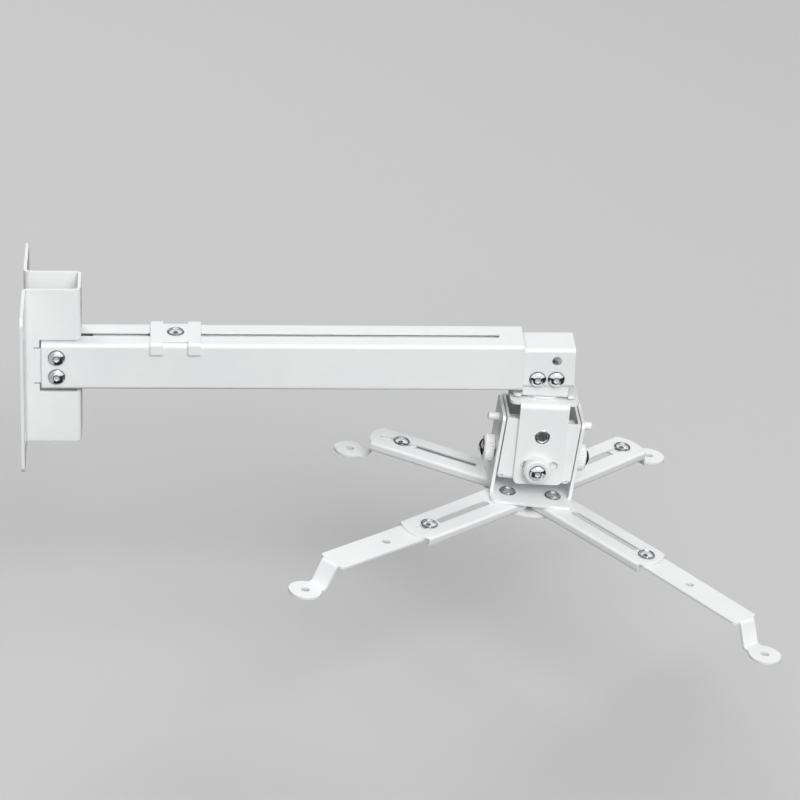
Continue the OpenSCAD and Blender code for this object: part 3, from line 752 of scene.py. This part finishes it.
@dataclass
class DomeScrews:
    """Dome head screws with a hex socket and a cut thread, in place of the plain CAD ones.

    Attributes:
        axes: the direction of the screws of each CAD node.
        socket: half of the width across the flats of the socket.
        socket_depth: depth of the socket.
        mouth: where the dome starts, as a share of the socket's half width.
        rim: radius of the rounded rim under the dome.
        neck: radius of the fillet under the head.
        pitch: pitch of the thread.
        threaded: length of the thread at the end of the shank.
        plain: least length of the shank that stays plain under the head.
        tip: length of the cone at the end of the shank.
        taper: how much that cone takes off the radius.
        dull: roughness that the bottom of the socket adds.
        painted_rim_shade: how strong the painted shade at the foot of the dome is.
        painted_rim_shade_from: share of the head's radius where it starts.
        painted_rim_shade_blend: share of the radius over which it grows.
    """

    axes: dict[str, Vector]
    socket: float = 2.0 * MM
    socket_depth: float = 1.5 * MM
    mouth: float = 1.32
    rim: float = 0.45 * MM
    neck: float = 0.3 * MM
    pitch: float = 1.0 * MM
    threaded: float = 12.0 * MM
    plain: float = 1.2 * MM
    tip: float = 0.5 * MM
    taper: float = 0.75 * MM
    dull: float = 0.6
    painted_rim_shade: float = 0.8
    painted_rim_shade_from: float = 0.86
    painted_rim_shade_blend: float = 0.09

    def profile(self, seat: Seat) -> Lathe:
        """Rings of one screw, from the middle of its socket round the dome and down the shank."""
        lathe = Lathe()
        top = seat.height
        cap = top - seat.seat - 2 * self.rim
        ball = (seat.radius**2 + cap**2) / (2 * cap)
        floor = top - self.socket_depth
        mouth = self.socket * self.mouth

        def dome(radius: float) -> float:
            return top - ball + math.sqrt(ball * ball - radius * radius)

        lathe.round(0.2 * MM, floor - 0.02 * MM)
        lathe.round(self.socket * 0.96, floor)
        lathe.hexagon(self.socket, floor)
        # The socket's edge: where its rings lie, where the dome's height is read, and how far below it
        for out, read, sunk in ((1.0, 1.1, 0.28 * MM), (1.07, 1.2, 0.06 * MM)):
            lathe.hexagon(self.socket * out, dome(self.socket * read) - sunk)
        rows = 12
        for i in range(rows):
            radius = mouth + (seat.radius - self.rim * 0.7 - mouth) * i / rows
            lathe.round(radius, dome(radius))
        lathe.fillet((seat.radius - self.rim, seat.seat + self.rim), self.rim, 62, -90, 7)
        lathe.fillet((seat.shank + self.neck, seat.seat - self.neck), self.neck, 90, 180, 3)
        start = min(seat.seat - self.plain, self.threaded)
        lathe.thread(seat.shank, start, self.tip, self.pitch)
        lathe.round(seat.shank - self.taper, 0.0)
        return lathe

    def mark(self, mesh: bpy.types.Mesh, seat: Seat) -> None:
        """Marks the bottom of the socket as unpolished, and paints a dark ring of shade at the foot of the
        dome.
        """
        floor = seat.height - self.socket_depth + 0.05 * MM
        satin = []
        rim_shade_values = []
        for vertex in mesh.vertices:
            out = math.hypot(vertex.co.x, vertex.co.y)
            in_socket = out < self.socket * self.mouth and seat.seat < vertex.co.z < floor
            satin.append(self.dull if in_socket else 0.0)
            # Painted shade: the outer edge of the head takes a dark ring
            past = (out / seat.radius - self.painted_rim_shade_from) / self.painted_rim_shade_blend
            rim_shade_values.append(self.painted_rim_shade * max(0.0, min(1.0, past)))
        for name, values in ((SATIN, satin), (PAINTED_RIM_SHADE, rim_shade_values)):
            mesh.attributes.new(name, "FLOAT", "POINT").data.foreach_set("value", values)

    def build(self, shop: Workshop) -> None:
        """Makes every screw and lets it stand for its CAD node."""
        for node, axis in self.axes.items():
            places = [Seat.read(points, axis) for points in solids(frame["nodes"][node])]
            for number, seat in enumerate(places, 1):
                name = f"{node}_fine_{number}"
                mesh = self.profile(seat).mesh(name)
                self.mark(mesh, seat)
                stand_in(name, node, mesh, seat.matrix(), Finish.BRIGHT, shop)
            LOG.info("%s: %d screws", node, len(places))


@dataclass
class HexNuts:
    """Hex nuts with two chamfered faces and a countersunk hole, in place of the plain CAD ones.

    Attributes:
        axes: the direction of the nuts of each CAD node.
        countersink: width and depth of the cone at each end of the hole.
        face: radius of the flat ring of each face, as a share of the half width across the flats.
        bevel: how far the faces' rings stand above the edges of the flats.
        slope: how fast those edges fall towards the corners.
    """

    axes: dict[str, Vector]
    countersink: float = 0.5 * MM
    face: float = 0.95
    bevel: float = 0.12 * MM
    slope: float = 0.5

    def profile(self, seat: Seat, hole: float) -> Lathe:
        """Rings of one nut, round its section from the hole outward and back."""
        lathe = Lathe()
        flat = seat.radius * math.cos(math.pi / 6)
        lathe.round(hole + self.countersink, seat.height)
        lathe.round(flat * self.face, seat.height)
        lathe.hexagon(flat, seat.height - self.bevel, -self.slope, seat.radius)
        lathe.hexagon(flat, self.bevel, self.slope, seat.radius)
        lathe.round(flat * self.face, 0.0)
        lathe.round(hole + self.countersink, 0.0)
        lathe.round(hole, self.countersink)
        lathe.round(hole, seat.height - self.countersink)
        return lathe

    def build(self, shop: Workshop) -> None:
        """Makes every nut and lets it stand for its CAD node."""
        for node, axis in self.axes.items():
            places = []
            for points in solids(frame["nodes"][node]):
                seat = Seat.read(points, axis)
                from_low = [p - seat.low for p in points]
                inner = min((p - seat.axis * p.dot(seat.axis)).length for p in from_low)
                places.append((seat, inner))
            for number, (seat, inner) in enumerate(places, 1):
                name = f"{node}_fine_{number}"
                mesh = self.profile(seat, inner).mesh(name, closed=True)
                stand_in(name, node, mesh, seat.matrix(), Finish.NUT, shop)
            LOG.info("%s: %d nuts", node, len(places))


@dataclass
class Eyelets:
    """The two rolled eyelets that the head rolls on, in place of the plain CAD ones.

    Attributes:
        node: their CAD node.
        axis: the direction that both lie along.
        barrel: outside radius of the barrel.
        throat: inside radius.
        flange: outside radius of the rolled lip.
        lip: height of the lip.
        edge: radius of the other flange's edges.
    """

    node: str
    axis: Vector
    barrel: float = 4.9 * MM
    throat: float = 4.0 * MM
    flange: float = 6.1 * MM
    lip: float = 0.8 * MM
    edge: float = 0.2 * MM

    def profile(self, height: float) -> Lathe:
        """Rings of one eyelet, round its section from the inner flange out to the rolled lip and back."""
        lathe = Lathe()
        edge = self.edge
        lathe.fillet((self.flange - edge, edge), edge, -90, 0, 3)
        lathe.fillet((self.flange - edge, self.lip - edge), edge, 0, 90, 3)
        lathe.round(self.barrel, self.lip)
        lathe.round(self.barrel, height - self.lip)
        reach = (self.flange - self.throat) / 2
        rows = 14
        for i in range(rows + 1):
            a = math.pi * i / rows
            lathe.round(self.throat + reach * (1 + math.cos(a)), height - self.lip * (1 - math.sin(a)))
        lathe.round(self.throat, self.lip)
        lathe.fillet((self.throat + edge, edge), edge, 180, 270, 3)
        return lathe

    def build(self, shop: Workshop) -> None:
        """Makes both eyelets and lets them stand for their CAD node."""
        groups = solids(frame["nodes"][self.node])
        middle = mean([mean(points) for points in groups])
        for number, points in enumerate(groups, 1):
            outward = (mean(points) - middle).dot(self.axis)
            along = self.axis if outward > 0 else -self.axis
            heights = [p.dot(along) for p in points]
            side, other, hub = centre_line(points, along)
            place = Matrix.Translation(hub + along * min(heights))
            place @= Matrix((side, other, along)).transposed().to_4x4()
            name = f"{self.node}_fine_{number}"
            mesh = self.profile(max(heights) - min(heights)).mesh(name, closed=True)
            stand_in(name, self.node, mesh, place, Finish.BRIGHT, shop)
        LOG.info("%s: %d eyelets", self.node, len(groups))


@dataclass
class CarriedParts:
    """The CAD nodes that stay in sight and only take their finish.

    Attributes:
        hidden: nodes that finer pieces stand for.
    """

    hidden: set[str]

    def dress(self, shop: Workshop) -> None:
        """Gives each node the finish of its material slot."""
        slots = {part["node"]: part["material_slot"] for part in frame["record"]["subparts"]}
        for node, obj in frame["nodes"].items():
            if node in self.hidden:
                continue
            material = shop.get(Finish(slots[node]))
            obj.data.materials.clear()
            obj.data.materials.append(material)
            LOG.info("%s: %s", node, material.name)


# Studio


@dataclass
class PhotoCamera:
    """Camera at the photograph's viewing angle.

    Attributes:
        yaw: turn about the upright axis, in degrees.
        pitch: tilt, in degrees, negative when it looks down.
        roll: turn about the line of sight, in degrees.
        distance: from the target, in metres.
        target: the point that is aimed at.
        pixel: where the target falls in the photograph.
        focal: focal length in the photograph's pixels.
    """

    yaw: float = -3.59
    pitch: float = -27.06
    roll: float = -1.85
    distance: float = 3.095
    target: Vector = Vector((0.215, 0.0, 0.0))
    pixel: tuple[float, float] = (305.8, 357.2)
    focal: float = 4046.0

    def build(self) -> None:
        """Adds the camera and makes it the scene's."""
        turn = Matrix.Rotation(math.radians(self.yaw), 3, "Z")
        tilt = Matrix.Rotation(math.radians(self.pitch), 3, "X")
        lean = Matrix.Rotation(math.radians(self.roll), 3, "Y")
        view = turn @ tilt @ lean
        right, ahead, up = view.col[0], view.col[1], view.col[2]
        centre = IMAGE_SIDE / 2
        place = self.target - ahead * self.distance
        place -= right * ((self.pixel[0] - centre) / self.focal * self.distance)
        place += up * ((self.pixel[1] - centre) / self.focal * self.distance)
        data = bpy.data.cameras.new("photo_camera")
        data.sensor_width = 36.0
        data.lens = self.focal * data.sensor_width / IMAGE_SIDE
        data.clip_start = 0.05
        data.clip_end = 60.0
        camera = add_object("photo_camera", data)
        turned = Matrix((right, up, -ahead)).transposed().to_4x4()
        camera.matrix_world = Matrix.Translation(place) @ turned
        bpy.context.scene.camera = camera


@dataclass
class SoftBox:
    """A square studio lamp with a soft cover.

    Attributes:
        name: the lamp's name.
        place: where it hangs.
        target: what it points at.
        size: its side, in metres.
        power: its power, in watts.
        mirrored: whether gloss and polished metal show it.
    """

    name: str
    place: Vector
    target: Vector
    size: float
    power: float
    mirrored: bool = True

    def build(self) -> None:
        """Adds the lamp."""
        data = bpy.data.lights.new(self.name, "AREA")
        data.shape = "SQUARE"
        data.size = self.size
        data.energy = self.power
        lamp = add_object(self.name, data)
        lamp.visible_glossy = self.mirrored
        lamp.visible_camera = False
        lamp.location = self.place
        lamp.rotation_mode = "QUATERNION"
        lamp.rotation_quaternion = (self.target - self.place).to_track_quat("-Z", "Y")


@dataclass
class Studio:
    """Pale floor and backdrop, soft lamps, and dark cards that only reflections see.

    Attributes:
        floor_z: height of the floor.
        floor_level: screen level of the floor, of 255.
        bounce_level: screen level of the floor as the object's own shading sees it.
        reach: half of the floor's width.
        bend_from: how far behind the mount the floor starts to curve up.
        bend: radius of that curve.
        backdrop: height of the backdrop.
        card_middle: how far from the wall the middle of the dish of dark cards lies.
        card_rings: radius and height of each ring of the dish.
        card_rise: how much higher the last ring is behind the mount.
        sky: strength of the sky in shading.
        sky_seen: strength of the sky in reflections.
        dark_from: sine of the angle above the floor from which reflections see it darken.
        dark_full: sine of the angle from which it's at its darkest.
        dark_sky: strength of the darkest part.
        middle: point that the lamps aim at.
        front: place of the two lamps in front.
        back: place of the lamp behind.
    """

    floor_z: float = -0.30
    floor_level: float = 200.0
    bounce_level: float = 110.0
    reach: float = 9.0
    bend_from: float = 2.6
    bend: float = 1.2
    backdrop: float = 5.0
    card_middle: float = 0.37
    card_rings: tuple[tuple[float, float], ...] = ((0.15, -0.29), (0.80, -0.27), (1.0, -0.075))
    card_rise: float = 0.25
    sky: float = 0.29
    sky_seen: float = 1.0
    dark_from: float = 0.90
    dark_full: float = 0.97
    dark_sky: float = 0.16
    middle: Vector = Vector((0.25, 0.0, -0.03))
    front: Vector = Vector((2.07, -6.8, 5.9))
    back: Vector = Vector((-0.9, 1.9, 2.9))

    def floor(self) -> None:
        """Adds the floor, which curves up into the backdrop behind."""
        section = [(-self.reach, 0.0), (self.bend_from, 0.0)]
        rows = 12
        for i in range(1, rows + 1):
            a = math.pi / 2 * i / rows
            section.append((self.bend_from + self.bend * math.sin(a), self.bend * (1 - math.cos(a))))
        section.append((self.bend_from + self.bend, self.backdrop))
        points = [(x, y, self.floor_z + z) for y, z in section for x in (-self.reach, self.reach)]
        faces = [(2 * i, 2 * i + 1, 2 * i + 3, 2 * i + 2) for i in range(len(section) - 1)]
        mesh = bpy.data.meshes.new("floor")
        mesh.from_pydata(points, [], faces)
        mesh.polygons.foreach_set("use_smooth", [True] * len(mesh.polygons))
        made, graph, shader = new_material("pale_paper")
        grain = graph.noise(graph.add("ShaderNodeTexCoord").outputs["Object"], 900.0, 3.0)
        low, high = self.floor_level - 1, self.floor_level + 1
        colour = graph.mix(grain, tint(low, low, self.floor_level), tint(high, high, high))
        bounce = tint(self.bounce_level, self.bounce_level, self.bounce_level)
        graph.feed(shader.inputs["Base Color"], graph.mix(self.seen(graph), bounce, colour))
        shader.inputs["Roughness"].default_value = 0.9
        shader.inputs["Specular IOR Level"].default_value = 0.15
        mesh.materials.append(made)
        obj = add_object("floor", mesh)

    def seen(self, graph: Graph) -> Socket:
        """Adds a mask of the rays that see a background: from the camera, a mirror or glass."""
        path = graph.add("ShaderNodeLightPath")
        mirrored = graph.math("MAXIMUM", path.outputs["Is Camera Ray"], path.outputs["Is Glossy Ray"])
        return graph.math("MAXIMUM", mirrored, path.outputs["Is Transmission Ray"])

    def cards(self) -> None:
        """Adds the dish of dark cards, hidden from everything but reflections."""
        count = 32
        points = []
        for out, height in self.card_rings:
            rise = self.card_rise if out == self.card_rings[-1][0] else 0.0
            for i in range(count):
                a = math.tau * i / count
                lift = rise * max(0.0, math.sin(a))
                points.append((self.card_middle + out * math.cos(a), out * math.sin(a), height + lift))
        faces = []
        for ring in range(len(self.card_rings) - 1):
            low, high = ring * count, (ring + 1) * count
            for i in range(count):
                j = (i + 1) % count
                faces.append((low + i, high + i, high + j, low + j))
        mesh = bpy.data.meshes.new("dark_cards")
        mesh.from_pydata(points, [], faces)
        made, _, shader = new_material("black_card")
        shader.inputs["Base Color"].default_value = tint(18, 18, 20)
        shader.inputs["Roughness"].default_value = 0.9
        mesh.materials.append(made)
        obj = add_object("dark_cards", mesh)
        obj.visible_camera = False
        obj.visible_diffuse = False
        obj.visible_shadow = False
        obj.visible_transmission = False

    def world(self) -> None:
        """Sets a sky that lights evenly, and that reflections see as white, but dark straight above."""
        air = bpy.data.worlds.new("studio_air")
        air.use_nodes = True
        graph = Graph(air.node_tree)
        back = air.node_tree.nodes["Background"]
        back.inputs["Color"].default_value = (1.0, 1.0, 1.0, 1.0)
        place = graph.add("ShaderNodeTexCoord")
        parts = graph.add("ShaderNodeSeparateXYZ", {"Vector": place.outputs["Generated"]})
        above = graph.remap(
            parts.outputs["Z"], self.dark_from, self.dark_full, self.sky_seen, self.dark_sky
        )
        lit = graph.math("MULTIPLY", self.seen(graph), graph.math("SUBTRACT", above, self.sky))
        graph.feed(back.inputs["Strength"], graph.math("ADD", lit, self.sky))
        bpy.context.scene.world = air

    def lamps(self) -> None:
        """Adds a key lamp and a wide fill in front and above, and a lamp for the back."""
        SoftBox("key_box", self.front, self.middle, size=3.8, power=415.0).build()
        SoftBox("fill_box", self.front, self.middle, size=11.0, power=520.0, mirrored=False).build()
        SoftBox("back_box", self.back, self.middle, size=2.4, power=52.0, mirrored=False).build()

    def build(self) -> None:
        """Adds all of it and sets how colours are shown."""
        self.floor()
        self.cards()
        self.world()
        self.lamps()
        bpy.context.scene.view_settings.view_transform = "Standard"


def fastener_axes() -> tuple[dict[str, Vector], dict[str, Vector]]:
    """Works out which way each group of fasteners points.

    Returns:
        The axis of each node of dome head screws, and of each node of nuts.
    """
    across = Vector((0.0, 1.0, 0.0))
    up = Vector((0.0, 0.0, 1.0))
    tilt = joint_axis("head_tilt")
    upright = joint_axis("swing_front_left")
    box_across = upright.cross(tilt)
    screws = {
        "wall_bolts": across,
        "clip_screw": up,
        "end_bolts": across,
        "roll_bolts": box_across,
        "tilt_bolts": tilt,
        "leg_screws": upright,
    }
    nuts = {
        "wall_nuts": across,
        "clip_nut": up,
        "end_nuts": across,
        "swivel_nut": joint_axis("head_swivel"),
        "roll_nuts": box_across,
        "tilt_nuts": tilt,
        "leg_nuts": upright,
    }
    for leg in ("front_left", "front_right", "back_left", "back_right"):
        screws[f"bar_screw_{leg}"] = upright
        nuts[f"bar_nut_{leg}"] = upright
    return screws, nuts


def main() -> None:
    """Builds the studio, dresses the CAD parts and adds the finer fasteners."""
    logging.basicConfig(level=logging.INFO, format="%(name)s: %(message)s")
    PhotoCamera().build()
    Studio().build()
    shop = Workshop()
    screws, nuts = fastener_axes()
    eyelets = Eyelets("roll_eyelets", joint_axis("head_roll"))
    CarriedParts(set(screws) | set(nuts) | {eyelets.node}).dress(shop)
    DomeScrews(screws).build(shop)
    HexNuts(nuts).build(shop)
    eyelets.build(shop)


if __name__ == "__main__":
    main()
